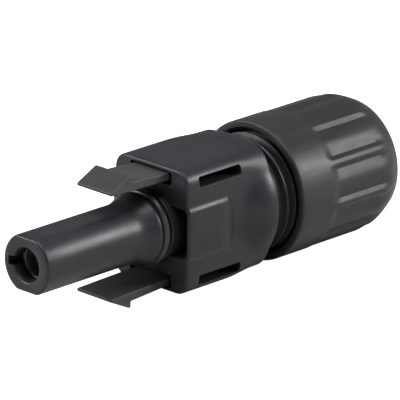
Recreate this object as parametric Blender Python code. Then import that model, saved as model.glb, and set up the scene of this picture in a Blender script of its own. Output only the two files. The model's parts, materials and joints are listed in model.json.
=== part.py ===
"""Latching solar cable connector: the socket-side half of an in-line pair.

Metres, +Z up.  X is the mating axis: the nose points to -X and the cable leaves at +X.  The two
latch arms lie above and below the axis.  The origin is on the axis, half way along the connector.
Stations are distances back from the nose tip; at() turns a station into an X coordinate.
"""
import math

import bmesh
import bpy
from mathutils import Matrix, Vector

MM = 0.001

# Driving dimensions
LENGTH = 60.5 * MM                # nose tip to the back of the gland nut
NUT_RADIUS = 9.5 * MM
BODY_FRONT = 22.3 * MM            # station of the shell's front face
BODY_HALF_WIDTH = 6.6 * MM
BODY_HALF_HEIGHT = 8.43 * MM
BODY_CORNER = 2.1 * MM
FLANGE_RADIUS = 8.6 * MM
FLANGE_CORNER = 3.3 * MM
FLANGE_BACK = 37.35 * MM
NOSE_RADIUS = 4.09 * MM
NOSE_FLAT = 3.7 * MM              # height of the two flats on the nose
NOSE_EDGE = 0.25 * MM
COLLAR_RADIUS = 4.9 * MM
COLLAR_FLARE_FRONT = 16.4 * MM    # the nose widens into the collar over this span
COLLAR_FLARE_BACK = 19.3 * MM
GROOVE_FRONT = 19.75 * MM         # groove in the collar for the ring seal
GROOVE_BACK = 21.35 * MM
GROOVE_RADIUS = 3.95 * MM
PIN_BORE_RADIUS = 2.24 * MM       # takes the mating half's 4 mm pin
THREAD_PITCH = 1.5 * MM
THREAD_ROOT = 7.15 * MM
THREAD_CREST = 7.95 * MM
THREAD_START = 38.5 * MM
GLAND_BACK = 47.5 * MM            # station of the housing's threaded end
GLAND_BORE = 6.2 * MM
GLAND_BORE_FRONT = 35.4 * MM
EDGE = 0.3 * MM                   # chamfer on the housing's larger edges
GAP = 0.3 * MM                    # clearance between neighbouring pieces

# Side pads and the hollows of the shell
PAD_HALF_WIDTH = 6.95 * MM
PAD_HALF_HEIGHT = 3.6 * MM
PAD_CORNER = 1.2 * MM
PAD_BACK = 29.9 * MM
POCKET_HALF_HEIGHT = 3.4 * MM
POCKET_WALL = 6.1 * MM            # distance from the axis to the pocket's outer wall
POCKET_BACK = 28.5 * MM
POCKET_CORNER = 1.0 * MM
LATCH_ROOM_FLOOR = 6.1 * MM
LATCH_ROOM_ROOF = 7.9 * MM
LATCH_ROOM_HALF_WIDTH = 3.7 * MM
LATCH_ROOM_BACK = 33.0 * MM
WINDOW_FRONT = 24.5 * MM
WINDOW_BACK = 32.2 * MM
WINDOW_LOW = 5.95 * MM
WINDOW_HIGH = 7.35 * MM
NOTCH_HALF_WIDTH = 0.65 * MM      # key notch in the edge of the pin bore
NOTCH_FLOOR = 1.5 * MM
NOTCH_REACH = 3.15 * MM

# Latch arms
ARM_HALF_WIDTH = 3.14 * MM
ARM_FRONT = 12.08 * MM
ARM_BACK = LATCH_ROOM_BACK - GAP
ARM_PIVOT_STATION = 32.3 * MM
ARM_PIVOT_HEIGHT = 7.05 * MM
# Side view of the upper arm: station and height of each corner, from the blunt tip over the barb
ARM_OUTLINE = (
    (ARM_FRONT, 6.95 * MM), (ARM_FRONT, 7.35 * MM), (15.3 * MM, 8.9 * MM), (15.6 * MM, 8.9 * MM),
    (15.6 * MM, 8.05 * MM), (BODY_FRONT, 7.65 * MM), (ARM_BACK, 7.55 * MM), (ARM_BACK, 6.55 * MM),
    (BODY_FRONT, 6.7 * MM),
)

# Socket contact
SLEEVE_FRONT = 2.1 * MM
SLEEVE_BACK = 18.5 * MM
SLEEVE_OUTER = 2.9 * MM
SLEEVE_INNER = 2.45 * MM
SHOULDER_FRONT = 24.4 * MM
SHOULDER_BACK = 25.9 * MM
CRIMP_BACK = 34.0 * MM
CHAMBER_STEP = 24.0 * MM
CHAMBER_FRONT_RADIUS = 3.15 * MM
CHAMBER_FRONT = 1.8 * MM
CHAMBER_BACK_RADIUS = 3.95 * MM

# Cable seal and clamp
SEAL_FRONT = 35.8 * MM
SEAL_BACK = 44.0 * MM
SEAL_OUTER = 5.95 * MM
SEAL_INNER = 3.2 * MM
CLAMP_FRONT = 46.7 * MM
CLAMP_BACK = 50.2 * MM
CLAMP_OUTER = 5.9 * MM
CLAMP_INNER = 3.9 * MM
FINGER_COUNT = 8
FINGER_LENGTH = 6.5 * MM
FINGER_THICKNESS = 1.15 * MM
FINGER_LEAN = math.radians(6)
FINGER_SPAN = math.radians(38)

# Gland nut
NUT_FRONT = 40.93 * MM
NUT_THREAD_FRONT = 41.6 * MM
NUT_THREAD_BACK = 48.1 * MM
NUT_THREAD_CREST = 7.4 * MM
NUT_THREAD_ROOT = 8.25 * MM
NUT_MOUTH = 4.4 * MM
NUT_SHOULDER = 56.4 * MM          # the nut narrows from here to its back rim
NUT_RIM_RADIUS = 8.25 * MM
SEAT_FRONT = 50.8 * MM            # tapered seat that squeezes the clamp's fingers
SEAT_BACK = 57.0 * MM
SEAT_FRONT_RADIUS = 6.7 * MM
SEAT_BACK_RADIUS = 5.95 * MM
NUT_LIP_FRONT = 58.6 * MM
RIB_COUNT = 10
RIB_HALF_ANGLE = math.radians(2.0)
RIB_FOOT_ANGLE = math.radians(5.5)
RIB_PHASE = math.radians(9.0)
PANEL_RADIUS = 9.1 * MM           # at the foot of a rib
PANEL_CROWN = 0.75                # share of that depth that a panel's middle rises by
PANEL_FRONT = 46.6 * MM

HOUSING_SEGMENTS = 48
ROUND_SEGMENTS = 32


def at(station):
    """X coordinate of a station measured back from the nose tip."""
    return station - LENGTH / 2


# ---------------------------------------------------------------- scene and materials

def clear_scene():
    for old in list(bpy.data.objects):
        bpy.data.objects.remove(old, do_unlink=True)


def material(name, colour, roughness, metallic=0.0):
    finish = bpy.data.materials.new(name)
    finish.use_nodes = True
    shader = finish.node_tree.nodes["Principled BSDF"]
    shader.inputs["Base Color"].default_value = (*colour, 1.0)
    shader.inputs["Roughness"].default_value = roughness
    shader.inputs["Metallic"].default_value = metallic
    finish.diffuse_color = (*colour, 1.0)
    return finish


def add_object(name, bm, finish, pivot=(0.0, 0.0, 0.0)):
    """Turn the bmesh into an object whose origin is at pivot."""
    bmesh.ops.remove_doubles(bm, verts=bm.verts, dist=0.001 * MM)
    bmesh.ops.recalc_face_normals(bm, faces=bm.faces)
    mesh = bpy.data.meshes.new(name)
    bm.to_mesh(mesh)
    bm.free()
    mesh.transform(Matrix.Translation(-Vector(pivot)))
    mesh.shade_smooth()
    mesh.set_sharp_from_angle(angle=math.radians(30))
    mesh.materials.append(finish)
    piece = bpy.data.objects.new(name, mesh)
    piece.location = pivot
    bpy.context.scene.collection.objects.link(piece)
    return piece


def cut(piece, name, bm):
    """Subtract a bmesh from a piece with a Boolean modifier."""
    cutter = add_object(name, bm, piece.data.materials[0])
    cutter.display_type = "WIRE"
    cutter.hide_render = True
    boolean = piece.modifiers.new(name, "BOOLEAN")
    boolean.operation = "DIFFERENCE"
    boolean.solver = "EXACT"
    boolean.object = cutter


# ---------------------------------------------------------------- shapes

def even_angles(count):
    return [2 * math.pi * i / count for i in range(count)]


def rounded_outline(angle, half_width, half_height, corner):
    """Radius, along angle from +Y towards +Z, of a rectangle with round corners."""
    across = abs(math.cos(angle))
    up = abs(math.sin(angle))
    if across * (half_height - corner) >= up * half_width:
        return half_width / across
    if up * (half_width - corner) >= across * half_height:
        return half_height / up
    centre = Vector((half_width - corner, half_height - corner))
    along = centre.dot(Vector((across, up)))
    return along + math.sqrt(along ** 2 - centre.length_squared + corner ** 2)


def flatted_outline(angle, radius, flat):
    """Radius of a circle with a flat cut at the top and the bottom."""
    up = abs(math.sin(angle))
    return radius if radius * up <= flat else flat / up


def ring(station, radius, angles):
    """Closed ring of points; radius is a number or a function of the angle."""
    points = []
    for angle in angles:
        r = radius(angle) if callable(radius) else radius
        points.append(Vector((at(station), r * math.cos(angle), r * math.sin(angle))))
    return points


def skin(bm, rings, closed=False):
    """Join consecutive rings with quads, and the last to the first if closed."""
    rows = [[bm.verts.new(point) for point in points] for points in rings]
    if closed:
        rows.append(rows[0])
    for low, high in zip(rows, rows[1:]):
        for i in range(len(low)):
            j = (i + 1) % len(low)
            bm.faces.new((low[i], low[j], high[j], high[i]))


def turned(profile, segments):
    """Closed body turned about the axis from a closed outline of (station, radius) points."""
    bm = bmesh.new()
    angles = even_angles(segments)
    skin(bm, [ring(station, radius, angles) for station, radius in profile], closed=True)
    return bm


def thread(bm, front, back, base, tip, phase, angles):
    """Right-hand helical ridge between two stations, as a band that starts and ends at base.

    Each pitch holds four rows: the ridge's foot, the two edges of its tip, and its other foot.
    """
    shape = ((0.00, base), (0.18, tip), (0.36, tip), (0.54, base))
    fade = 0.6 * THREAD_PITCH
    turns = math.ceil((back - front) / THREAD_PITCH) + 2
    columns = []
    for angle in angles:
        column = []
        for turn in range(-1, turns):
            for fraction, radius in shape:
                advance = turn + fraction + phase + angle / (2 * math.pi)
                station = min(max(front + THREAD_PITCH * (advance - 1), front), back)
                height = min(1.0, (station - front) / fade, (back - station) / fade)
                r = base + (radius - base) * height
                point = Vector((at(station), r * math.cos(angle), r * math.sin(angle)))
                column.append(bm.verts.new(point))
        columns.append(column)
    rows = len(shape)
    for i, column in enumerate(columns):
        last = i == len(columns) - 1
        other = columns[0][rows:] if last else columns[i + 1]
        for k in range(min(len(column), len(other)) - 1):
            bm.faces.new((column[k], other[k], other[k + 1], column[k + 1]))


def block(station_a, station_b, y_a, y_b, z_a, z_b):
    """Plain box, used to cut slots and rooms."""
    bm = bmesh.new()
    outline = ((y_a, z_a), (y_b, z_a), (y_b, z_b), (y_a, z_b))
    corners = [Vector((at(station_a), y, z)) for y, z in outline]
    extrude_outline(bm, corners, Vector((station_b - station_a, 0, 0)))
    return bm


def extrude_outline(bm, points, offset):
    """Closed prism from a flat outline and its offset copy."""
    near = [bm.verts.new(point) for point in points]
    far = [bm.verts.new(point + offset) for point in points]
    bm.faces.new(near)
    bm.faces.new(list(reversed(far)))
    for i in range(len(points)):
        j = (i + 1) % len(points)
        bm.faces.new((near[j], near[i], far[i], far[j]))


# ---------------------------------------------------------------- housing

def shell_outline(flare=0.0, pad=False, inset=0.0):
    """Shell cross-section: a rounded block with side pads, whose sides swell out to the flange."""
    corner = BODY_CORNER + flare * (FLANGE_CORNER - BODY_CORNER)
    circle = BODY_HALF_WIDTH + flare * (FLANGE_RADIUS - BODY_HALF_WIDTH)

    def radius(angle):
        r = max(circle, rounded_outline(angle, BODY_HALF_WIDTH, BODY_HALF_HEIGHT, corner))
        if pad:
            r = max(r, rounded_outline(angle, PAD_HALF_WIDTH, PAD_HALF_HEIGHT, PAD_CORNER))
        return r - inset
    return radius


def housing_rings(angles):
    """Outer rings from the nose tip back to where the thread starts."""
    def nose(radius, flat):
        return lambda angle: flatted_outline(angle, radius, flat)

    rings = [
        ring(0, nose(NOSE_RADIUS - NOSE_EDGE, NOSE_FLAT - NOSE_EDGE), angles),
        ring(NOSE_EDGE, nose(NOSE_RADIUS, NOSE_FLAT), angles),
        ring(COLLAR_FLARE_FRONT, nose(NOSE_RADIUS, NOSE_FLAT), angles),
    ]
    steps = 4
    for i in range(1, steps + 1):
        share = i / steps
        rise = (1 - math.cos(share * math.pi / 2)) * (COLLAR_RADIUS - NOSE_RADIUS)
        flat = NOSE_FLAT + share * (COLLAR_RADIUS - NOSE_FLAT)
        station = COLLAR_FLARE_FRONT + share * (COLLAR_FLARE_BACK - COLLAR_FLARE_FRONT)
        rings.append(ring(station, nose(NOSE_RADIUS + rise, flat), angles))
    rings += [
        ring(GROOVE_FRONT, COLLAR_RADIUS, angles),
        ring(GROOVE_FRONT, GROOVE_RADIUS, angles),
        ring(GROOVE_BACK, GROOVE_RADIUS, angles),
        ring(GROOVE_BACK, COLLAR_RADIUS, angles),
        ring(BODY_FRONT, COLLAR_RADIUS, angles),
        ring(BODY_FRONT, shell_outline(pad=True), angles),
        ring(PAD_BACK, shell_outline(pad=True), angles),
        ring(PAD_BACK + 0.2 * MM, shell_outline(), angles),
    ]
    steps = 6
    for i in range(1, steps + 1):
        share = i / steps
        flare = share * share * (3 - 2 * share)
        station = PAD_BACK + share * (FLANGE_BACK - EDGE - PAD_BACK)
        rings.append(ring(station, shell_outline(flare), angles))
    rings += [
        ring(FLANGE_BACK, shell_outline(1.0, inset=EDGE), angles),
        ring(FLANGE_BACK, THREAD_ROOT, angles),
        ring(THREAD_START, THREAD_ROOT, angles),
    ]
    return rings


def make_housing(finish):
    """Nose, shell and threaded gland end in one moulding, with the stepped bore through it."""
    angles = even_angles(HOUSING_SEGMENTS)
    bm = bmesh.new()
    outside = housing_rings(angles)
    skin(bm, outside)
    thread(bm, THREAD_START, GLAND_BACK - EDGE, THREAD_ROOT, THREAD_CREST, 0.0, angles)
    bore = (
        (GLAND_BACK - EDGE, THREAD_ROOT), (GLAND_BACK, THREAD_ROOT - EDGE),
        (GLAND_BACK, GLAND_BORE), (GLAND_BORE_FRONT, GLAND_BORE),
        (GLAND_BORE_FRONT, CHAMBER_BACK_RADIUS), (CHAMBER_STEP, CHAMBER_BACK_RADIUS),
        (CHAMBER_STEP, CHAMBER_FRONT_RADIUS), (CHAMBER_FRONT, CHAMBER_FRONT_RADIUS),
        (CHAMBER_FRONT, PIN_BORE_RADIUS), (0, PIN_BORE_RADIUS),
    )
    skin(bm, [ring(station, radius, angles) for station, radius in bore] + [outside[0]])
    bmesh.ops.triangulate(bm, faces=bm.faces)
    housing = add_object("housing", bm, finish)

    cut(housing, "key_notch", block(
        -GAP, CHAMBER_FRONT + GAP, NOTCH_FLOOR, NOTCH_REACH, -NOTCH_HALF_WIDTH, NOTCH_HALF_WIDTH))
    for side in (-1, 1):
        cut(housing, f"pocket_{side}", side_pocket(side))
        cut(housing, f"latch_room_{side}", block(
            BODY_FRONT - GAP, LATCH_ROOM_BACK, -LATCH_ROOM_HALF_WIDTH, LATCH_ROOM_HALF_WIDTH,
            side * LATCH_ROOM_FLOOR, side * LATCH_ROOM_ROOF))
        cut(housing, f"window_{side}", block(
            WINDOW_FRONT, WINDOW_BACK, -NUT_RADIUS, NUT_RADIUS, side * WINDOW_LOW, side * WINDOW_HIGH))
    return housing


def side_pocket(side):
    """Hollow beside the collar, closed on its inner side by the collar's own round face."""
    inner = COLLAR_RADIUS + 0.02 * MM
    limit = math.asin(POCKET_HALF_HEIGHT / inner)
    steps = 8
    outline = []
    for i in range(steps + 1):
        angle = limit * (2 * i / steps - 1)
        outline.append((inner * math.cos(angle), inner * math.sin(angle)))
    outline += [
        (POCKET_WALL - POCKET_CORNER, POCKET_HALF_HEIGHT), (POCKET_WALL, POCKET_HALF_HEIGHT - POCKET_CORNER),
        (POCKET_WALL, POCKET_CORNER - POCKET_HALF_HEIGHT), (POCKET_WALL - POCKET_CORNER, -POCKET_HALF_HEIGHT),
    ]
    front = at(BODY_FRONT - GAP)
    points = [Vector((front, side * y, z)) for y, z in outline]
    bm = bmesh.new()
    extrude_outline(bm, points, Vector((at(POCKET_BACK) - front, 0, 0)))
    return bm


def make_mating_o_ring(finish):
    """Ring seal that sits in the collar's groove."""
    centre = (GROOVE_FRONT + GROOVE_BACK) / 2
    radius = 0.5 * MM
    middle = COLLAR_RADIUS - 0.27 * MM
    profile = [(centre + radius * math.cos(a), middle + radius * math.sin(a)) for a in even_angles(10)]
    return add_object("mating_o_ring", turned(profile, HOUSING_SEGMENTS), finish)


# ---------------------------------------------------------------- latch arms

def make_latch_arm(name, side, finish):
    """Flat strip with a barbed tip; side is 1 for the upper arm and -1 for the lower."""
    points = [Vector((at(station), -ARM_HALF_WIDTH, side * height)) for station, height in ARM_OUTLINE]
    bm = bmesh.new()
    extrude_outline(bm, points, Vector((0, 2 * ARM_HALF_WIDTH, 0)))
    pivot = (at(ARM_PIVOT_STATION), 0.0, side * ARM_PIVOT_HEIGHT)
    return add_object(name, bm, finish, pivot)


# ---------------------------------------------------------------- socket contact

def make_contact_sleeve(finish):
    """Plain tube around the louvre band, turned in at its mouth."""
    profile = (
        (SLEEVE_FRONT, 2.2 * MM), (SLEEVE_FRONT, 2.6 * MM), (2.5 * MM, SLEEVE_OUTER),
        (SLEEVE_BACK, SLEEVE_OUTER), (SLEEVE_BACK, SLEEVE_INNER),
        (3.0 * MM, SLEEVE_INNER), (2.7 * MM, 2.2 * MM),
    )
    return add_object("contact_sleeve", turned(profile, ROUND_SEGMENTS), finish)


def make_contact_body(finish):
    """Turned contact: spigot, retaining shoulder and crimp barrel with an inspection hole."""
    profile = (
        (13.5 * MM, 2.05 * MM), (13.5 * MM, 2.35 * MM),
        (SLEEVE_BACK + GAP, 2.35 * MM), (SLEEVE_BACK + GAP, SLEEVE_OUTER),
        (SHOULDER_FRONT, SLEEVE_OUTER), (SHOULDER_FRONT + 0.4 * MM, 3.6 * MM), (SHOULDER_BACK, 3.6 * MM),
        (SHOULDER_BACK, 2.7 * MM), (27.0 * MM, 2.7 * MM), (27.4 * MM, 2.85 * MM),
        (CRIMP_BACK, 2.85 * MM), (CRIMP_BACK, 2.3 * MM), (33.6 * MM, 2.0 * MM),
        (26.6 * MM, 2.0 * MM), (26.2 * MM, 1.0 * MM), (23.6 * MM, 1.0 * MM), (23.0 * MM, 2.05 * MM),
    )
    body = add_object("contact_body", turned(profile, ROUND_SEGMENTS), finish)
    hole = bmesh.new()
    bmesh.ops.create_cone(
        hole, cap_ends=True, segments=12, radius1=0.6 * MM, radius2=0.6 * MM, depth=3.0 * MM,
        matrix=Matrix.Translation((at(28.2 * MM), 0, 2.6 * MM)))
    cut(body, "inspection_hole", hole)
    return body


def pierced_shell(outer_rings, thickness, solid, angles):
    """Thin turned shell with gaps: only the cells (row, column) in solid are filled."""
    bm = bmesh.new()
    count = len(angles)
    out, inn = (
        [[bm.verts.new(p) for p in ring(station, radius - depth, angles)] for station, radius in outer_rings]
        for depth in (0.0, thickness))
    for k, i in sorted(solid):
        j = (i + 1) % count
        for grid in (out, inn):
            bm.faces.new((grid[k][i], grid[k][j], grid[k + 1][j], grid[k + 1][i]))
        rims = (
            ((k - 1, i), (k, i), (k, j)), ((k + 1, i), (k + 1, i), (k + 1, j)),
            ((k, (i - 1) % count), (k, i), (k + 1, i)), ((k, j), (k, j), (k + 1, j)),
        )
        for beyond, (row_a, column_a), (row_b, column_b) in rims:
            if beyond not in solid:
                bm.faces.new((out[row_a][column_a], out[row_b][column_b],
                              inn[row_b][column_b], inn[row_a][column_a]))
    loose = [vert for vert in bm.verts if not vert.link_faces]
    bmesh.ops.delete(bm, geom=loose, context="VERTS")
    return bm


def make_louvre_band(finish):
    """Spring cage inside the sleeve: two end hoops joined by strips that bow inwards."""
    strips, hoop, thickness = 12, 0.7 * MM, 0.1 * MM
    front, back = 4.2 * MM, 10.6 * MM
    outer, bow = 2.38 * MM, 0.17 * MM
    rings = (
        (front, outer), (front + hoop, outer), ((front + back) / 2, outer - bow),
        (back - hoop, outer), (back, outer),
    )
    angles = even_angles(strips * 2)
    solid = {(k, i) for k in range(4) for i in range(len(angles)) if k in (0, 3) or i % 2 == 0}
    return add_object("contact_louvre_band", pierced_shell(rings, thickness, solid, angles), finish)


def make_retaining_clip(finish):
    """Steel ring in the chamber with four lances that lean in behind the contact's shoulder."""
    lances, columns, thickness = 4, 6, 0.25 * MM
    outer = CHAMBER_BACK_RADIUS - 0.12 * MM
    rings = ((SHOULDER_BACK + 0.15 * MM, 3.35 * MM), (29.2 * MM, outer), (30.6 * MM, outer))
    angles = even_angles(lances * columns)
    solid = {(k, i) for k in range(2) for i in range(len(angles)) if k == 1 or i % columns < columns // 2}
    return add_object("contact_retaining_clip", pierced_shell(rings, thickness, solid, angles), finish)


# ---------------------------------------------------------------- cable gland

def make_cable_seal(finish):
    """Rubber sleeve squeezed around the cable, ribbed outside."""
    ribs, valley = 3, 0.45 * MM
    pitch = (SEAL_BACK - SEAL_FRONT) / ribs
    profile = []
    for i in range(ribs):
        start = SEAL_FRONT + i * pitch
        profile += [
            (start + 0.1 * pitch, SEAL_OUTER - valley), (start + 0.3 * pitch, SEAL_OUTER),
            (start + 0.7 * pitch, SEAL_OUTER), (start + 0.9 * pitch, SEAL_OUTER - valley),
        ]
    profile += [
        (SEAL_BACK, SEAL_OUTER - valley), (SEAL_BACK, SEAL_INNER + 0.4 * MM),
        (SEAL_BACK - 0.6 * MM, SEAL_INNER), (SEAL_FRONT + 0.6 * MM, SEAL_INNER),
        (SEAL_FRONT, SEAL_INNER + 0.4 * MM), (SEAL_FRONT, SEAL_OUTER - valley),
    ]
    return add_object("cable_seal", turned(profile, ROUND_SEGMENTS), finish)


def make_clamp_ring(finish):
    """Ring that pushes on the seal and carries the clamp's fingers."""
    profile = (
        (CLAMP_FRONT, CLAMP_INNER + 0.4 * MM), (CLAMP_FRONT, CLAMP_OUTER - 0.4 * MM),
        (CLAMP_FRONT + 0.4 * MM, CLAMP_OUTER), (CLAMP_BACK, CLAMP_OUTER),
        (CLAMP_BACK, CLAMP_INNER), (CLAMP_FRONT + 0.4 * MM, CLAMP_INNER),
    )
    return add_object("clamp_ring", turned(profile, ROUND_SEGMENTS), finish)


def make_clamp_finger(index, finish):
    """One leaning finger of the clamp, with two gripping ridges inside."""
    start = CLAMP_BACK + GAP
    middle = CLAMP_OUTER - 0.1 * MM - FINGER_THICKNESS / 2
    half = FINGER_THICKNESS / 2
    ridge = 0.45 * MM
    # Distance along the finger, height of its outer face, height of its inner face
    sections = (
        (0.0, half, -half), (3.2 * MM, half, -half), (3.6 * MM, half, -half - ridge),
        (4.0 * MM, half, -half), (4.8 * MM, half, -half), (5.2 * MM, half, -half - ridge),
        (5.6 * MM, half, -half), (FINGER_LENGTH, half - 0.35 * MM, -half),
    )
    centre_angle = 2 * math.pi * index / FINGER_COUNT
    slices = 3

    def point(along, height, angle):
        station = start + along * math.cos(FINGER_LEAN) + height * math.sin(FINGER_LEAN)
        r = middle - along * math.sin(FINGER_LEAN) + height * math.cos(FINGER_LEAN)
        return Vector((at(station), r * math.cos(angle), r * math.sin(angle)))

    rings = []
    spread = [centre_angle + FINGER_SPAN * (k / slices - 0.5) for k in range(slices + 1)]
    for along, high, low in sections:
        outer_side = [point(along, high, angle) for angle in spread]
        inner_side = [point(along, low, angle) for angle in reversed(spread)]
        rings.append(outer_side + inner_side)
    bm = bmesh.new()
    skin(bm, rings)
    for points in (rings[0], rings[-1]):
        corners = [bm.verts.new(p) for p in points]
        for k in range(slices):
            bm.faces.new((corners[k], corners[k + 1], corners[-2 - k], corners[-1 - k]))
    pivot = (at(start), middle * math.cos(centre_angle), middle * math.sin(centre_angle))
    return add_object(f"clamp_finger_{index + 1}", bm, finish, pivot)


def nut_angles():
    """Angles at the ribs' edges and through the panels between them."""
    pitch = 2 * math.pi / RIB_COUNT
    steps = (-RIB_HALF_ANGLE, RIB_HALF_ANGLE, RIB_FOOT_ANGLE, pitch / 2, pitch - RIB_FOOT_ANGLE)
    return [RIB_PHASE + pitch * rib + step for rib in range(RIB_COUNT) for step in steps]


def nut_outline(rib_radius, panel_radius):
    """Nut cross-section: ribs at one radius and crowned panels, lowest beside the ribs."""
    pitch = 2 * math.pi / RIB_COUNT

    def radius(angle):
        away = abs((angle - RIB_PHASE + pitch / 2) % pitch - pitch / 2)
        if away <= RIB_HALF_ANGLE + 1e-6:
            return rib_radius
        crown = PANEL_CROWN if away > RIB_FOOT_ANGLE + 1e-6 else 0.0
        return panel_radius + crown * (rib_radius - panel_radius)
    return radius


def make_gland_nut(finish):
    """Fluted cap nut with a right-hand thread and a tapered seat for the clamp's fingers."""
    angles = nut_angles()
    edge = 0.25 * MM
    taper_middle, taper_rib, taper_panel = 58.4 * MM, 9.1 * MM, 9.02 * MM
    outside = (
        (NUT_FRONT, NUT_THREAD_ROOT + 0.2 * MM, None), (NUT_FRONT, NUT_RADIUS - edge, None),
        (NUT_FRONT + edge, NUT_RADIUS, None), (PANEL_FRONT, NUT_RADIUS, None),
        (PANEL_FRONT + 0.7 * MM, NUT_RADIUS, PANEL_RADIUS),
        (NUT_SHOULDER, NUT_RADIUS, PANEL_RADIUS), (taper_middle, taper_rib, taper_panel),
        (LENGTH - edge, NUT_RIM_RADIUS, None), (LENGTH, NUT_RIM_RADIUS - edge, None),
        (LENGTH, NUT_MOUTH + edge, None), (LENGTH - edge, NUT_MOUTH, None),
        (NUT_LIP_FRONT, NUT_MOUTH, None), (SEAT_BACK, SEAT_BACK_RADIUS, None),
        (SEAT_FRONT, SEAT_FRONT_RADIUS, None), (SEAT_FRONT - 0.6 * MM, NUT_THREAD_ROOT, None),
        (NUT_THREAD_BACK, NUT_THREAD_ROOT, None),
    )
    bm = bmesh.new()
    rings = [ring(s, nut_outline(rib, panel or rib), angles) for s, rib, panel in outside]
    skin(bm, rings)
    thread(bm, NUT_THREAD_FRONT, NUT_THREAD_BACK, NUT_THREAD_ROOT, NUT_THREAD_CREST,
           nut_thread_phase(), angles)
    skin(bm, [ring(NUT_THREAD_FRONT, NUT_THREAD_ROOT, angles), rings[0]])
    return add_object("gland_nut", bm, finish)


def nut_thread_phase():
    """Phase that puts the nut's ridges midway between the housing's."""
    return ((THREAD_START - NUT_THREAD_FRONT) / THREAD_PITCH + 0.5) % 1.0


def main():
    clear_scene()
    black_plastic = material("black_plastic", (0.030, 0.031, 0.033), 0.42)
    nut_plastic = material("nut_plastic", (0.031, 0.032, 0.034), 0.42)
    latch_plastic = material("latch_plastic", (0.034, 0.035, 0.037), 0.45)
    clamp_plastic = material("clamp_plastic", (0.05, 0.05, 0.052), 0.5)
    ring_rubber = material("ring_rubber", (0.018, 0.018, 0.019), 0.5)
    seal_rubber = material("seal_rubber", (0.022, 0.022, 0.023), 0.65)
    tinned_copper = material("tinned_copper", (0.78, 0.77, 0.74), 0.3, 1.0)
    spring_steel = material("spring_steel", (0.62, 0.62, 0.62), 0.28, 1.0)

    make_housing(black_plastic)
    make_latch_arm("latch_arm_upper", 1, latch_plastic)
    make_latch_arm("latch_arm_lower", -1, latch_plastic)
    make_mating_o_ring(ring_rubber)
    make_contact_sleeve(tinned_copper)
    make_contact_body(tinned_copper)
    make_louvre_band(spring_steel)
    make_retaining_clip(spring_steel)
    make_cable_seal(seal_rubber)
    make_clamp_ring(clamp_plastic)
    for index in range(FINGER_COUNT):
        make_clamp_finger(index, clamp_plastic)
    make_gland_nut(nut_plastic)


main()
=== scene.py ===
"""Looks of the latching solar cable connector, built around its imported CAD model.

Every visible piece rides on its CAD body.  Stations are distances back from the nose tip along X;
at() turns a station into an X coordinate.  Angles run from +Y towards +Z, about +X.
"""
import json
import math

import bmesh
import bpy
from mathutils import Matrix, Vector


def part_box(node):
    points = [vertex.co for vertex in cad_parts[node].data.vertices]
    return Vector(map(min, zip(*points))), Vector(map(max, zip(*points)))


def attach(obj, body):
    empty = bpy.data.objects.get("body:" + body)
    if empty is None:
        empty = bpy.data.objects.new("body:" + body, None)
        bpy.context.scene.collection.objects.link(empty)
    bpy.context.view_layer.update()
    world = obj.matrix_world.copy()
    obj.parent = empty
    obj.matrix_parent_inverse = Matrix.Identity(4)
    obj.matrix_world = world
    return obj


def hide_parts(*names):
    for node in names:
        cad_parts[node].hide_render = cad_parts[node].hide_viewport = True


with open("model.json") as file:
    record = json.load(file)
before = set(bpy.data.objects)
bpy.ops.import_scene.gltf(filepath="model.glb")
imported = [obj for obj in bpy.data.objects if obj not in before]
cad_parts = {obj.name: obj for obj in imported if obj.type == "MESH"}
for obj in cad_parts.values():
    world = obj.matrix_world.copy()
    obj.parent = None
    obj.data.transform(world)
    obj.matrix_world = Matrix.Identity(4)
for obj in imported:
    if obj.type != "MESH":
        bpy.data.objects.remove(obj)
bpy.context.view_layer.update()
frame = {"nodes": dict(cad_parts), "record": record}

MM = 0.001
HOUSING_LOW, HOUSING_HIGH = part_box("housing")
NUT_LOW, NUT_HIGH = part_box("gland_nut")
RING_LOW, RING_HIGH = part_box("mating_o_ring")
ARM_LOW, ARM_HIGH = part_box("latch_arm_upper")
TIP = HOUSING_LOW.x


def at(station):
    """X coordinate of a station measured back from the nose tip."""
    return TIP + station


def station_of(x):
    return x - TIP


# Housing
NOSE_RADIUS = 4.09 * MM
NOSE_FLAT = 3.7 * MM
PIN_BORE = 2.24 * MM
COLLAR_RADIUS = 4.9 * MM
FLARE_FRONT, FLARE_BACK = 16.4 * MM, 19.3 * MM
SHELL_FRONT = 22.3 * MM
SHELL_HALF_WIDTH = 6.6 * MM
SHELL_HALF_HEIGHT = 8.43 * MM
SHELL_CORNER = 2.1 * MM
FLANGE_CORNER = 3.3 * MM
PAD_HALF_WIDTH = 6.95 * MM
PAD_SLOPE_FOOT, PAD_SLOPE_TOP = 2.75 * MM, 3.8 * MM
PAD_BACK = 29.9 * MM
FLANGE_RADIUS = 8.6 * MM
FLANGE_BACK = 37.35 * MM
HOUSING_BACK = station_of(HOUSING_HIGH.x)

RING_GROOVE_FRONT, RING_GROOVE_BACK = 19.75 * MM, 21.35 * MM
RING_GROOVE_RADIUS = 3.95 * MM
HOUSING_EDGE = 0.35 * MM
FLANGE_EDGE = 0.3 * MM
CONTACT_BORE = 3.15 * MM
CONTACT_BORE_FRONT, CONTACT_BORE_BACK = 1.8 * MM, 24.0 * MM
CRIMP_BORE = 3.95 * MM
GLAND_BORE = 6.2 * MM
GLAND_BORE_FRONT = 35.4 * MM
LATCH_ROOM_LOW, LATCH_ROOM_HIGH = 6.1 * MM, 7.9 * MM
LATCH_ROOM_HALF_WIDTH = 3.7 * MM
LATCH_ROOM_BACK = 33.0 * MM
WINDOW_FRONT, WINDOW_BACK = 24.5 * MM, 32.2 * MM
WINDOW_LOW, WINDOW_HIGH = 5.95 * MM, 7.35 * MM
KEY_NOTCH_INNER, KEY_NOTCH_OUTER = 1.2 * MM, 3.15 * MM
KEY_NOTCH_HALF_WIDTH = 0.65 * MM

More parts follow.
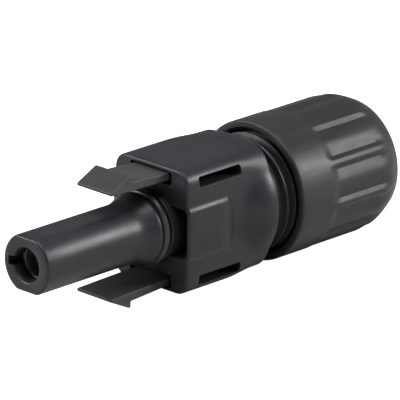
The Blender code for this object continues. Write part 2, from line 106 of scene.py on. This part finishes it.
# Thread
THREAD_PITCH = 1.5 * MM
THREAD_ROOT, THREAD_CREST = 7.15 * MM, 7.95 * MM
HOUSING_THREAD_FRONT = 38.5 * MM
NUT_THREAD_FRONT, NUT_THREAD_BACK = 41.6 * MM, 48.1 * MM
NUT_THREAD_ROOT, NUT_THREAD_CREST = 8.25 * MM, 7.4 * MM

# Gland nut
NUT_FRONT = station_of(NUT_LOW.x)
NUT_BACK = station_of(NUT_HIGH.x)
NUT_RADIUS = 9.48 * MM
NUT_SHOULDER = 56.4 * MM
NUT_END_RADIUS = 8.25 * MM
NUT_EDGE = 0.3 * MM
NUT_MOUTH = 4.4 * MM
NUT_MOUTH_FRONT = 58.6 * MM
NUT_CONE = ((57.0 * MM, 5.95 * MM), (50.8 * MM, 6.7 * MM))
NUT_RELIEF_BACK = 50.2 * MM
RIB_COUNT = 10
RIB_PHASE = math.radians(9.0)
RIB_HALF_WIDTH = 0.33 * MM
RIB_FLANK = 0.6 * MM
PANEL_FRONT, PANEL_FULL = 46.6 * MM, 48.4 * MM
PANEL_DEPTH = 0.4 * MM
PANEL_CROWN = 0.75
PANEL_FADE, PANEL_BACK = 56.0 * MM, 59.0 * MM

HOUSING_COLUMNS = 192
MERGE_DISTANCE = 0.0005 * MM
SHARP_ANGLE = math.radians(35)
CAD_SHARP_ANGLE = math.radians(32)
PLASTIC_SPECULAR = 0.28
WORLD_STRENGTH = 0.28


# ---------------------------------------------------------------- materials

class Nodes:
    """Short way to add and link shader nodes."""

    def __init__(self, name):
        self.material = bpy.data.materials.new(name)
        self.material.use_nodes = True
        self.tree = self.material.node_tree
        self.shader = self.tree.nodes["Principled BSDF"]
        self.place = self.add("ShaderNodeTexCoord").outputs["Object"]

    def add(self, kind, **settings):
        node = self.tree.nodes.new(kind)
        for key, value in settings.items():
            setattr(node, key, value)
        return node

    def link(self, source, target):
        self.tree.links.new(source, target)

    def noise(self, scale, detail=3.0, stretch=None):
        """Noise of the given scale; stretch lengthens it along an axis."""
        node = self.add("ShaderNodeTexNoise")
        node.inputs["Scale"].default_value = scale
        node.inputs["Detail"].default_value = detail
        place = self.place
        if stretch:
            mapping = self.add("ShaderNodeMapping")
            mapping.inputs["Scale"].default_value = stretch
            self.link(place, mapping.inputs["Vector"])
            place = mapping.outputs["Vector"]
        self.link(place, node.inputs["Vector"])
        return node.outputs["Fac"]

    def remap(self, source, low, high, start=0.3, stop=0.7):
        node = self.add("ShaderNodeMapRange")
        for name, value in (("From Min", start), ("From Max", stop), ("To Min", low), ("To Max", high)):
            node.inputs[name].default_value = value
        self.link(source, node.inputs["Value"])
        return node.outputs["Result"]

    def mix_colour(self, factor, dark, light):
        node = self.add("ShaderNodeMix", data_type="RGBA")
        self.link(factor, node.inputs["Factor"])
        for socket, colour in (("A", dark), ("B", light)):
            target = next(s for s in node.inputs if s.name == socket and s.type == "RGBA")
            if isinstance(colour, tuple):
                target.default_value = (*colour, 1.0)
            else:
                self.link(colour, target)
        return next(s for s in node.outputs if s.type == "RGBA")

    def math(self, operation, a, b):
        node = self.add("ShaderNodeMath", operation=operation)
        for slot, value in enumerate((a, b)):
            if isinstance(value, (int, float)):
                node.inputs[slot].default_value = value
            else:
                self.link(value, node.inputs[slot])
        return node.outputs["Value"]

    def edges(self):
        """1 on convex edges, 0 elsewhere."""
        geometry = self.add("ShaderNodeNewGeometry")
        return self.remap(geometry.outputs["Pointiness"], 0.0, 1.0, 0.52, 0.62)

    def openness_for_painted_shade(self, reach):
        """Ambient occlusion mask for painted shade: 1 in the open, falling to 0 deep inside hollows."""
        node = self.add("ShaderNodeAmbientOcclusion", samples=8)
        node.inputs["Distance"].default_value = reach
        return self.remap(node.outputs["AO"], 0.0, 1.0, 0.2, 0.75)

    def bump(self, height, distance, strength, round_edges=0.0):
        node = self.add("ShaderNodeBump")
        node.inputs["Distance"].default_value = distance
        node.inputs["Strength"].default_value = strength
        self.link(height, node.inputs["Height"])
        if round_edges:
            bevel = self.add("ShaderNodeBevel", samples=6)
            bevel.inputs["Radius"].default_value = round_edges
            self.link(bevel.outputs["Normal"], node.inputs["Normal"])
        self.link(node.outputs["Normal"], self.shader.inputs["Normal"])

    def set(self, **values):
        for name, value in values.items():
            self.shader.inputs[name.replace("_", " ")].default_value = value


def moulded_plastic(name, dark, light, rough, grain, flow=(1.0, 1.0, 1.0)):
    """Satin moulded plastic: fine grain, slow gloss variation, soft flow marks, paler scuffed edges,
    and painted shade that darkens the colour inside hollows and recesses.
    """
    n = Nodes(name)
    cloud = n.noise(260.0, 4.0, flow)
    speck = n.noise(5200.0, 2.0)
    fine = n.noise(14000.0, 2.0)
    scuff = n.noise(1500.0, 5.0, flow)
    tone = n.mix_colour(n.remap(cloud, 0.0, 1.0), dark, light)
    worn = tuple(c * 2.1 + 0.012 for c in light)
    wear = n.math("MULTIPLY", n.edges(), n.remap(scuff, 0.15, 0.55))
    # Painted shade: ambient occlusion darkens the colour to a tenth of the dark tone in windows,
    # pockets, bores and thread gaps, and dulls the gloss there.
    openness_for_painted_shade = n.openness_for_painted_shade(6.0 * MM)
    painted_recess_shade = tuple(c * 0.1 for c in dark)
    colour = n.mix_colour(openness_for_painted_shade, painted_recess_shade, n.mix_colour(wear, tone, worn))
    n.link(colour, n.shader.inputs["Base Color"])
    gloss = n.math("ADD", n.remap(cloud, rough - 0.04, rough + 0.04), n.remap(speck, -0.03, 0.03))
    dull = n.math("MULTIPLY", n.math("SUBTRACT", 1.0, openness_for_painted_shade), 0.4)
    roughness = n.math("ADD", n.math("ADD", gloss, dull), n.remap(scuff, -0.02, 0.04))
    n.link(roughness, n.shader.inputs["Roughness"])
    height = n.math("ADD", n.remap(fine, 0.0, grain), n.remap(speck, 0.0, 1.0 - grain))
    n.bump(height, 0.012 * MM, 0.35, 0.12 * MM)
    n.set(Specular_IOR_Level=PLASTIC_SPECULAR)
    return n.material


def rubber(name, dark, light, rough):
    """Soft rubber: matte, with a dusty bloom and tiny pores."""
    n = Nodes(name)
    bloom = n.noise(700.0, 5.0)
    pores = n.noise(9000.0, 2.0)
    n.link(n.mix_colour(n.remap(bloom, 0.0, 1.0), dark, light), n.shader.inputs["Base Color"])
    n.link(n.remap(bloom, rough - 0.07, rough + 0.07), n.shader.inputs["Roughness"])
    n.bump(pores, 0.015 * MM, 0.4, 0.1 * MM)
    n.set(Specular_IOR_Level=0.45)
    return n.material


def turned_metal(name, dark, light, rough):
    """Plated metal with fine turning marks round the axis and a few duller patches."""
    n = Nodes(name)
    marks = n.noise(900.0, 4.0, (14.0, 0.4, 0.4))
    patch = n.noise(450.0, 4.0)
    n.link(n.mix_colour(n.remap(patch, 0.0, 1.0), dark, light), n.shader.inputs["Base Color"])
    n.link(n.math("ADD", n.remap(patch, rough - 0.05, rough + 0.08), n.remap(marks, -0.03, 0.05)),
           n.shader.inputs["Roughness"])
    n.bump(marks, 0.01 * MM, 0.4, 0.06 * MM)
    n.set(Metallic=1.0)
    return n.material


def make_materials():
    along = (0.25, 1.0, 1.0)
    return {
        "black_plastic": moulded_plastic(
            "black_plastic_look", (0.0113, 0.0129, 0.0150), (0.0164, 0.0186, 0.0213), 0.37, 0.5, along),
        "nut_plastic": moulded_plastic(
            "nut_plastic_look", (0.0150, 0.0166, 0.0151), (0.0220, 0.0240, 0.0216), 0.43, 0.6, along),
        "latch_plastic": moulded_plastic(
            "latch_plastic_look", (0.029, 0.0295, 0.030), (0.040, 0.0405, 0.041), 0.44, 0.5, along),
        "clamp_plastic": moulded_plastic(
            "clamp_plastic_look", (0.030, 0.030, 0.031), (0.045, 0.045, 0.047), 0.48, 0.5),
        "ring_rubber": rubber("ring_rubber_look", (0.018, 0.0185, 0.0195), (0.032, 0.033, 0.034), 0.40),
        "seal_rubber": rubber("seal_rubber_look", (0.016, 0.016, 0.016), (0.032, 0.032, 0.033), 0.62),
        "tinned_copper": turned_metal(
            "tinned_copper_look", (0.34, 0.33, 0.31), (0.48, 0.47, 0.44), 0.36),
        "spring_steel": turned_metal(
            "spring_steel_look", (0.30, 0.30, 0.31), (0.42, 0.42, 0.42), 0.30),
    }


# ---------------------------------------------------------------- mesh helpers

def make_piece(name, bm, finish, body, stands_for):
    """Turn the bmesh into a piece that rides on a body and stands for CAD nodes."""
    bmesh.ops.remove_doubles(bm, verts=bm.verts, dist=MERGE_DISTANCE)
    bmesh.ops.recalc_face_normals(bm, faces=bm.faces)
    mesh = bpy.data.meshes.new(name)
    bm.to_mesh(mesh)
    bm.free()
    mesh.shade_smooth()
    mesh.set_sharp_from_angle(angle=SHARP_ANGLE)
    mesh.materials.append(materials[finish])
    piece = bpy.data.objects.new(name, mesh)
    bpy.context.scene.collection.objects.link(piece)
    if body:
        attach(piece, body)
        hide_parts(*stands_for)
    return piece


def carve(piece, cutters):
    """Subtract the cutters from the piece one by one, for good, cleaning up slivers after each."""
    for bm in cutters:
        cutter = make_piece("cutter", bm, "black_plastic", None, ())
        boolean = piece.modifiers.new("carve", "BOOLEAN")
        boolean.operation = "DIFFERENCE"
        boolean.solver = "EXACT"
        boolean.object = cutter
        bpy.context.view_layer.update()
        depsgraph = bpy.context.evaluated_depsgraph_get()
        carved = bpy.data.meshes.new_from_object(piece.evaluated_get(depsgraph))
        piece.modifiers.clear()
        bpy.data.objects.remove(cutter, do_unlink=True)
        clean = bmesh.new()
        clean.from_mesh(carved)
        bmesh.ops.remove_doubles(clean, verts=clean.verts, dist=MERGE_DISTANCE)
        bmesh.ops.dissolve_degenerate(clean, edges=clean.edges, dist=MERGE_DISTANCE)
        clean.to_mesh(carved)
        clean.free()
        piece.data = carved
    piece.data.shade_smooth()
    piece.data.set_sharp_from_angle(angle=SHARP_ANGLE)


def even_angles(count):
    return [2 * math.pi * i / count for i in range(count)]


def ring(station, radius, angles):
    """Closed ring of points; radius is a number or a function of the angle."""
    points = []
    for angle in angles:
        r = radius(angle) if callable(radius) else radius
        points.append(Vector((at(station), r * math.cos(angle), r * math.sin(angle))))
    return points


def skin(bm, rings, closed=False):
    """Join consecutive rings with quads, and the last to the first if closed."""
    rows = [[bm.verts.new(point) for point in points] for points in rings]
    if closed:
        rows.append(rows[0])
    for low, high in zip(rows, rows[1:]):
        for i in range(len(low)):
            j = (i + 1) % len(low)
            bm.faces.new((low[i], low[j], high[j], high[i]))


def quarter(radius, steps=5):
    """(advance, inset) pairs that round an edge, from its end face to its side."""
    turns = [math.pi / 2 * k / steps for k in range(steps + 1)]
    return [(radius * (1 - math.cos(t)), radius * (1 - math.sin(t))) for t in turns]


def smooth(value, start, stop):
    share = min(max((value - start) / (stop - start), 0.0), 1.0)
    return share * share * (3 - 2 * share)


def arc_points(centre, radius, start, stop, steps):
    """(station, radius) points on an arc, angles in degrees from the +station direction."""
    turns = [math.radians(start + (stop - start) * k / steps) for k in range(steps + 1)]
    return [(centre[0] + radius * math.cos(t), centre[1] + radius * math.sin(t)) for t in turns]


def thread(bm, front, back, base, tip, phase, angles):
    """Right-hand helical ridge between two stations, as a band that starts and ends at base."""
    foot, edge, crest = 0.54, 0.18, 0.06
    rise = tip - base
    shape = (
        (0.0, base), (crest, base + 0.12 * rise), (edge - 0.03, base + 0.85 * rise),
        (edge + 0.02, tip), (foot - edge - 0.02, tip), (foot - edge + 0.03, base + 0.85 * rise),
        (foot - crest, base + 0.12 * rise), (foot, base),
    )
    fade = 0.6 * THREAD_PITCH
    turns = math.ceil((back - front) / THREAD_PITCH) + 2
    columns = []
    for angle in angles:
        column = []
        for turn in range(-1, turns):
            for fraction, radius in shape:
                advance = turn + fraction + phase + angle / (2 * math.pi)
                station = min(max(front + THREAD_PITCH * (advance - 1), front), back)
                height = min(1.0, (station - front) / fade, (back - station) / fade)
                r = base + (radius - base) * height
                point = Vector((at(station), r * math.cos(angle), r * math.sin(angle)))
                column.append(bm.verts.new(point))
        columns.append(column)
    rows = len(shape)
    for i, column in enumerate(columns):
        other = columns[0][rows:] if i == len(columns) - 1 else columns[i + 1]
        for k in range(min(len(column), len(other)) - 1):
            bm.faces.new((column[k], other[k], other[k + 1], column[k + 1]))


def prism(points, offset):
    """Closed prism from a flat outline and its offset copy."""
    bm = bmesh.new()
    near = [bm.verts.new(point) for point in points]
    far = [bm.verts.new(point + offset) for point in points]
    bm.faces.new(near)
    bm.faces.new(list(reversed(far)))
    for i in range(len(points)):
        j = (i + 1) % len(points)
        bm.faces.new((near[j], near[i], far[i], far[j]))
    return bm


def rounded_rectangle(low, high, corner, steps=5):
    """Outline points (a, b) of a rectangle with round corners."""
    points = []
    for quadrant, (ca, cb) in enumerate(((1, 1), (0, 1), (0, 0), (1, 0))):
        a = (high[0] - corner) if ca else (low[0] + corner)
        b = (high[1] - corner) if cb else (low[1] + corner)
        for k in range(steps + 1):
            t = math.pi / 2 * (quadrant + k / steps)
            points.append((a + corner * math.cos(t), b + corner * math.sin(t)))
    return points


# ---------------------------------------------------------------- housing

def rounded_outline(angle, half_width, half_height, corner):
    """Radius, along an angle, of a rectangle with round corners."""
    across, up = abs(math.cos(angle)), abs(math.sin(angle))
    if across * (half_height - corner) >= up * half_width:
        return half_width / across
    if up * (half_width - corner) >= across * half_height:
        return half_height / up
    centre = Vector((half_width - corner, half_height - corner))
    along = centre.dot(Vector((across, up)))
    return along + math.sqrt(along ** 2 - centre.length_squared + corner ** 2)


def nose_outline(radius, flat):
    """Circle with a flat at the top and bottom, and soft corners between them."""
    def outline(angle):
        up = abs(math.sin(angle))
        reach = flat / up if up > 0.5 else 2 * radius
        sharpness = 60.0
        return (radius ** -sharpness + reach ** -sharpness) ** (-1 / sharpness)
    return outline


def shell_outline(inset=0.0, flare=0.0, pad=1.0):
    """Rounded block with side pads, whose sides swell out to the round flange as flare goes to 1."""
    corner = SHELL_CORNER + flare * (FLANGE_CORNER - SHELL_CORNER)
    circle = SHELL_HALF_WIDTH + flare * (FLANGE_RADIUS - SHELL_HALF_WIDTH) - inset
    pad_step = pad * (PAD_HALF_WIDTH - SHELL_HALF_WIDTH)
    softness = 24.0

    def outline(angle):
        r = rounded_outline(
            angle, SHELL_HALF_WIDTH - inset, SHELL_HALF_HEIGHT - inset, corner - inset)
        if flare:
            r = (r ** softness + circle ** softness) ** (1 / softness)
        across, up = abs(math.cos(angle)), r * abs(math.sin(angle))
        if up < PAD_SLOPE_TOP and across > 0.5:
            r += pad_step * (1 - smooth(up, PAD_SLOPE_FOOT, PAD_SLOPE_TOP)) / across
        return r
    return outline


def housing_outside(angles):
    """Outer rings from the nose tip back to where the thread starts."""
    places = [(advance, nose_outline(NOSE_RADIUS - inset, NOSE_FLAT - inset))
              for advance, inset in quarter(HOUSING_EDGE)]
    places += [(station * MM, nose_outline(NOSE_RADIUS, NOSE_FLAT)) for station in (4, 8, 12, 14.5)]
    steps = 14
    for k in range(steps + 1):
        share = k / steps
        rise = (1 - math.cos(share * math.pi / 2)) * (COLLAR_RADIUS - NOSE_RADIUS)
        flat = NOSE_FLAT + smooth(share, 0, 1) * (COLLAR_RADIUS - NOSE_FLAT)
        station = FLARE_FRONT + share * (FLARE_BACK - FLARE_FRONT)
        places.append((station, nose_outline(NOSE_RADIUS + rise, flat + share ** 4 * MM)))
    lip = quarter(0.15 * MM, 3)
    places += [(RING_GROOVE_FRONT - advance, COLLAR_RADIUS - inset) for advance, inset in reversed(lip)]
    places += [(RING_GROOVE_FRONT, RING_GROOVE_RADIUS), (RING_GROOVE_BACK, RING_GROOVE_RADIUS)]
    places += [(RING_GROOVE_BACK + advance, COLLAR_RADIUS - inset) for advance, inset in lip]
    places.append((SHELL_FRONT, COLLAR_RADIUS))
    places += [(SHELL_FRONT + advance, shell_outline(inset))
               for advance, inset in quarter(HOUSING_EDGE)]
    places += [(station * MM, shell_outline()) for station in (24, 26, 28)]
    pad_end, steps = 0.4 * MM, 6
    for k in range(steps):
        station = PAD_BACK - pad_end + pad_end * k / steps
        places.append((station, shell_outline(pad=1 - smooth(k / steps, 0, 1))))
    places.append((PAD_BACK, shell_outline(pad=0)))
    steps = 24
    for k in range(1, steps):
        share = k / steps
        station = PAD_BACK + share * (FLANGE_BACK - FLANGE_EDGE - PAD_BACK)
        places.append((station, shell_outline(flare=smooth(share, 0.1, 0.95), pad=0)))
    places += [(FLANGE_BACK - advance, shell_outline(inset, 1.0, 0))
               for advance, inset in reversed(quarter(FLANGE_EDGE))]
    places += [(FLANGE_BACK, THREAD_ROOT + 0.15 * MM), (FLANGE_BACK + 0.15 * MM, THREAD_ROOT),
               (HOUSING_THREAD_FRONT, THREAD_ROOT)]
    return [ring(station, outline, angles) for station, outline in places]


def housing_bore():
    """(station, radius) of the stepped bore, from the gland end to the nose tip."""
    edge = 0.25 * MM
    return [
        (HOUSING_BACK - 0.3 * MM, THREAD_ROOT), (HOUSING_BACK, THREAD_ROOT - 0.3 * MM),
        (HOUSING_BACK, GLAND_BORE + edge), (HOUSING_BACK - edge, GLAND_BORE),
        (GLAND_BORE_FRONT, GLAND_BORE), (GLAND_BORE_FRONT, CRIMP_BORE + edge),
        (GLAND_BORE_FRONT - edge, CRIMP_BORE), (CONTACT_BORE_BACK, CRIMP_BORE),
        (CONTACT_BORE_BACK, CONTACT_BORE), (CONTACT_BORE_FRONT, CONTACT_BORE),
        (CONTACT_BORE_FRONT, PIN_BORE), (edge, PIN_BORE), (0.08 * MM, PIN_BORE + 0.1 * MM),
        (0.0, PIN_BORE + edge),
    ]


def side_pocket(side):
    """Hollow beside the collar, flared at its mouth, closed inwards by the collar's round face."""
    inner, half, wall, corner = COLLAR_RADIUS + 0.02 * MM, 3.4 * MM, 6.1 * MM, 1.0 * MM
    mouth, depth, ahead = 0.45 * MM, 28.5 * MM, 0.3 * MM
    limit, steps = math.asin(half / inner), 25
    outlines = []
    sections = ((SHELL_FRONT - ahead, 1 + ahead / mouth), (SHELL_FRONT + mouth, 0.0), (depth, 0.0))
    for station, flare in sections:
        points = []
        for i in range(steps + 1):
            angle = limit * (2 * i / steps - 1)
            y, z = inner * math.cos(angle), inner * math.sin(angle)
            points.append(Vector((at(station), side * y, z)))
        for quadrant in (1, -1):
            for k in range(7):
                t = math.pi / 2 * (1 - k / 6 if quadrant == 1 else -k / 6)
                y = wall - corner + corner * math.cos(t) + flare * mouth
                z = quadrant * (half - corner) + corner * math.sin(t)
                points.append(Vector((at(station), side * y, z)))
        outlines.append(points)
    bm = bmesh.new()
    skin(bm, outlines)
    for points in (outlines[0], outlines[-1]):
        bm.faces.new([bm.verts.new(point) for point in points])
    return bm


def latch_room(side):
    """Room in the shell that the latch arm bends in."""
    outline = rounded_rectangle(
        (-LATCH_ROOM_HALF_WIDTH, LATCH_ROOM_LOW), (LATCH_ROOM_HALF_WIDTH, LATCH_ROOM_HIGH), 0.3 * MM)
    start = SHELL_FRONT - 0.3 * MM
    points = [Vector((at(start), y, side * z)) for y, z in outline]
    return prism(points, Vector((LATCH_ROOM_BACK - start, 0, 0)))


def window(side):
    """Slot through both side walls of the shell, into the latch arm's room."""
    outline = rounded_rectangle((WINDOW_FRONT, WINDOW_LOW), (WINDOW_BACK, WINDOW_HIGH), 0.35 * MM)
    points = [Vector((at(station), -NUT_RADIUS, side * z)) for station, z in outline]
    return prism(points, Vector((0, 2 * NUT_RADIUS, 0)))


def key_notch():
    """Notch in the pin bore's edge, on the +Y side."""
    outline = rounded_rectangle(
        (KEY_NOTCH_INNER, -KEY_NOTCH_HALF_WIDTH), (KEY_NOTCH_OUTER, KEY_NOTCH_HALF_WIDTH), 0.2 * MM)
    points = [Vector((at(-0.3 * MM), y, z)) for y, z in outline]
    return prism(points, Vector((2.4 * MM, 0, 0)))


def make_housing():
    angles = even_angles(HOUSING_COLUMNS)
    bm = bmesh.new()
    outside = housing_outside(angles)
    skin(bm, outside)
    thread(bm, HOUSING_THREAD_FRONT, HOUSING_BACK - 0.3 * MM, THREAD_ROOT, THREAD_CREST, 0.0, angles)
    skin(bm, [ring(station, radius, angles) for station, radius in housing_bore()] + [outside[0]])
    piece = make_piece("housing_shell", bm, "black_plastic", "housing", ["housing"])
    cutters = [key_notch()]
    for side in (-1, 1):
        cutters += [side_pocket(side), latch_room(side), window(side)]
    carve(piece, cutters)
    return piece


# ---------------------------------------------------------------- small outer pieces

def make_o_ring():
    """Ring seal in the collar's groove."""
    centre = station_of((RING_LOW.x + RING_HIGH.x) / 2)
    radius = (RING_HIGH.x - RING_LOW.x) / 2
    middle = RING_HIGH.z - radius
    bm = bmesh.new()
    profile = arc_points((centre, middle), radius, 0, 345, 23)
    skin(bm, [ring(station, r, even_angles(144)) for station, r in profile], closed=True)
    make_piece("o_ring", bm, "ring_rubber", "housing", ["mating_o_ring"])


def make_latch_arm(name, side, body):
    """Spring strip with a barbed tip, rounded along every edge."""
    front, back = station_of(ARM_LOW.x), station_of(ARM_HIGH.x)
    half = ARM_HIGH.y
    outline = (
        (front, 6.95 * MM), (front, 7.35 * MM), (15.3 * MM, 8.9 * MM), (15.6 * MM, 8.9 * MM),
        (15.6 * MM, 8.15 * MM), (15.75 * MM, 8.04 * MM), (18.5 * MM, 7.88 * MM), (22.3 * MM, 7.65 * MM),
        (back, 7.55 * MM), (back, 6.55 * MM), (22.3 * MM, 6.7 * MM), (17.0 * MM, 6.82 * MM),
    )
    points = [Vector((at(station), -half, side * z)) for station, z in outline]
    bm = prism(points, Vector((0, 2 * half, 0)))
    piece = make_piece(name, bm, "latch_plastic", body, [f"latch_arm_{name.split('_')[0]}"])
    bevel = piece.modifiers.new("round_edges", "BEVEL")
    bevel.width = 0.12 * MM
    bevel.segments = 3
    bevel.limit_method = "ANGLE"
    bevel.angle_limit = math.radians(20)
    return piece


# ---------------------------------------------------------------- gland nut

def flute_angles():
    """Columns round the nut: close together on the ribs' flanks, wider across the panels."""
    pitch = 2 * math.pi / RIB_COUNT
    rib = RIB_HALF_WIDTH / NUT_RADIUS
    flank = RIB_FLANK / NUT_RADIUS
    steps = [rib * (2 * k / 4 - 1) for k in range(4)]
    steps += [rib + flank * k / 6 for k in range(6)]
    panel = pitch - 2 * rib - 2 * flank
    steps += [rib + flank + panel * k / 6 for k in range(6)]
    steps += [rib + flank + panel + flank * k / 6 for k in range(6)]
    return [RIB_PHASE + pitch * flute + step for flute in range(RIB_COUNT) for step in steps]


def nut_surface(station, radius):
    """Outline of the nut at a station, with the recessed panels between its ribs."""
    pitch = 2 * math.pi / RIB_COUNT
    half_panel = pitch / 2 * NUT_RADIUS - RIB_HALF_WIDTH
    fade_in = smooth(station, PANEL_FRONT, PANEL_FULL)
    fade_out = 1 - smooth(station, PANEL_FADE, PANEL_BACK)
    depth = PANEL_DEPTH * fade_in * fade_out

    def outline(angle):
        off_rib = abs((angle - RIB_PHASE + pitch / 2) % pitch - pitch / 2) * NUT_RADIUS
        sideways = off_rib - RIB_HALF_WIDTH
        wall = min(max(sideways / RIB_FLANK, 0.0), 1.0)
        crown = PANEL_CROWN * smooth(sideways, RIB_FLANK, half_panel)
        return radius - depth * wall * (1 - crown)
    return outline


def make_nut():
    angles = flute_angles()
    rim = quarter(NUT_EDGE, 4)
    places = [(NUT_FRONT + advance, NUT_RADIUS - inset) for advance, inset in rim]
    places += [(42.5 * MM, NUT_RADIUS), (44.5 * MM, NUT_RADIUS), (46.2 * MM, NUT_RADIUS)]
    steps = 12
    places += [(PANEL_FRONT + (PANEL_FULL - PANEL_FRONT) * k / steps, NUT_RADIUS)
               for k in range(steps + 1)]
    places += [(station * MM, NUT_RADIUS) for station in (49, 51, 53, 55)]
    for k in range(steps + 1):
        share = k / steps
        station = NUT_SHOULDER + share * (NUT_BACK - NUT_EDGE - NUT_SHOULDER)
        places.append((station, NUT_RADIUS - share ** 1.7 * (NUT_RADIUS - NUT_END_RADIUS)))
    places += [(NUT_BACK - advance, NUT_END_RADIUS - inset) for advance, inset in reversed(rim[:-1])]
    outside = [ring(station, nut_surface(station, radius), angles) for station, radius in places]
    inside = [(NUT_BACK, NUT_MOUTH + NUT_EDGE)]
    inside += [(NUT_BACK - advance, NUT_MOUTH + inset) for advance, inset in rim]
    inside += [(NUT_MOUTH_FRONT, NUT_MOUTH), *NUT_CONE,
               (NUT_RELIEF_BACK, NUT_THREAD_ROOT), (NUT_THREAD_BACK, NUT_THREAD_ROOT)]
    mouth = [(NUT_THREAD_FRONT, NUT_THREAD_ROOT), (NUT_FRONT + 0.35 * MM, NUT_THREAD_ROOT),
             (NUT_FRONT, NUT_THREAD_ROOT + 0.35 * MM)]
    bm = bmesh.new()
    skin(bm, outside + [ring(station, radius, angles) for station, radius in inside])
    phase = ((HOUSING_THREAD_FRONT - NUT_THREAD_FRONT) / THREAD_PITCH + 0.5) % 1.0
    thread(bm, NUT_THREAD_FRONT, NUT_THREAD_BACK, NUT_THREAD_ROOT, NUT_THREAD_CREST, phase, angles)
    skin(bm, [ring(station, radius, angles) for station, radius in mouth] + [outside[0]])
    make_piece("fluted_nut", bm, "nut_plastic", "nut", ["gland_nut"])


# ---------------------------------------------------------------- CAD pieces that stay

def finish_cad_nodes():
    """Smooth shading and a full material on each CAD node that stays visible."""
    slots = {part["node"]: part["material_slot"] for part in frame["record"]["subparts"]}
    for name, node in frame["nodes"].items():
        if node.hide_render:
            continue
        node.data.materials.clear()
        node.data.materials.append(materials[slots[name]])
        node.data.shade_smooth()
        node.data.set_sharp_from_angle(angle=CAD_SHARP_ANGLE)


# ---------------------------------------------------------------- stage, light and camera

def make_stage():
    """Pale floor under the nut.  Its glow keeps it plain white and lights nothing but the floor."""
    bpy.ops.mesh.primitive_plane_add(size=6.0, location=(0, 0, NUT_LOW.z))
    floor = bpy.context.object
    floor.name = "floor"
    n = Nodes("pale_floor")
    n.set(Base_Color=(0.6, 0.6, 0.6, 1.0), Roughness=1.0, Specular_IOR_Level=0.0,
          Emission_Color=(1.0, 1.0, 1.0, 1.0), Emission_Strength=1.0)
    floor.data.materials.append(n.material)
    lit_by_glow = bpy.data.collections.new("lit_by_glow")
    lit_by_glow.objects.link(floor)
    floor.light_linking.receiver_collection = lit_by_glow
    world = bpy.data.worlds.new("studio")
    bpy.context.scene.world = world
    world.use_nodes = True
    background = world.node_tree.nodes["Background"]
    background.inputs["Color"].default_value = (1.0, 1.0, 1.0, 1.0)
    background.inputs["Strength"].default_value = WORLD_STRENGTH


def area_light(name, direction, distance, size, power):
    """Rectangular soft light that shines on the object from a direction."""
    data = bpy.data.lights.new(name, "AREA")
    data.shape = "RECTANGLE"
    data.size, data.size_y = size
    data.energy = power
    light = bpy.data.objects.new(name, data)
    toward = Vector(direction).normalized()
    light.location = toward * distance
    light.rotation_mode = "QUATERNION"
    light.rotation_quaternion = toward.to_track_quat("Z", "Y")
    bpy.context.scene.collection.objects.link(light)


def make_lights():
    area_light("key_box", (0.675, -0.615, 0.407), 0.6, (0.20, 0.19), 3.0)
    area_light("top_box", (-0.05, -0.2, 1.0), 0.8, (0.5, 0.5), 5.2)
    area_light("front_fill", (-0.70, 0.58, 0.42), 0.9, (0.4, 0.3), 7.5)


def make_camera():
    """Long lens, a little above the object, with the nose to the lower left."""
    azimuth, elevation, roll = math.radians(-45.69), math.radians(19.29), math.radians(0.43)
    target = Vector((1.1, 0.0, 1.05)) * MM
    distance = 743.5 * MM
    back = Vector((math.sin(azimuth) * math.cos(elevation), -math.cos(azimuth) * math.cos(elevation),
                   math.sin(elevation)))
    data = bpy.data.cameras.new("camera")
    data.lens = 516.0
    data.sensor_width = 36.0
    data.clip_start, data.clip_end = 0.01, 20.0
    camera = bpy.data.objects.new("camera", data)
    camera.rotation_mode = "QUATERNION"
    turn = Matrix.Rotation(roll, 3, "Z").to_quaternion()
    camera.rotation_quaternion = (-back).to_track_quat("-Z", "Y") @ turn
    camera.location = target + back * distance
    bpy.context.scene.collection.objects.link(camera)
    bpy.context.scene.camera = camera


# ---------------------------------------------------------------- build

materials = make_materials()
make_camera()
make_stage()
make_lights()
make_housing()
make_o_ring()
make_latch_arm("upper_latch_arm", 1, "upper_latch")
make_latch_arm("lower_latch_arm", -1, "lower_latch")
make_nut()
finish_cad_nodes()
bpy.context.scene.view_settings.view_transform = "Standard"
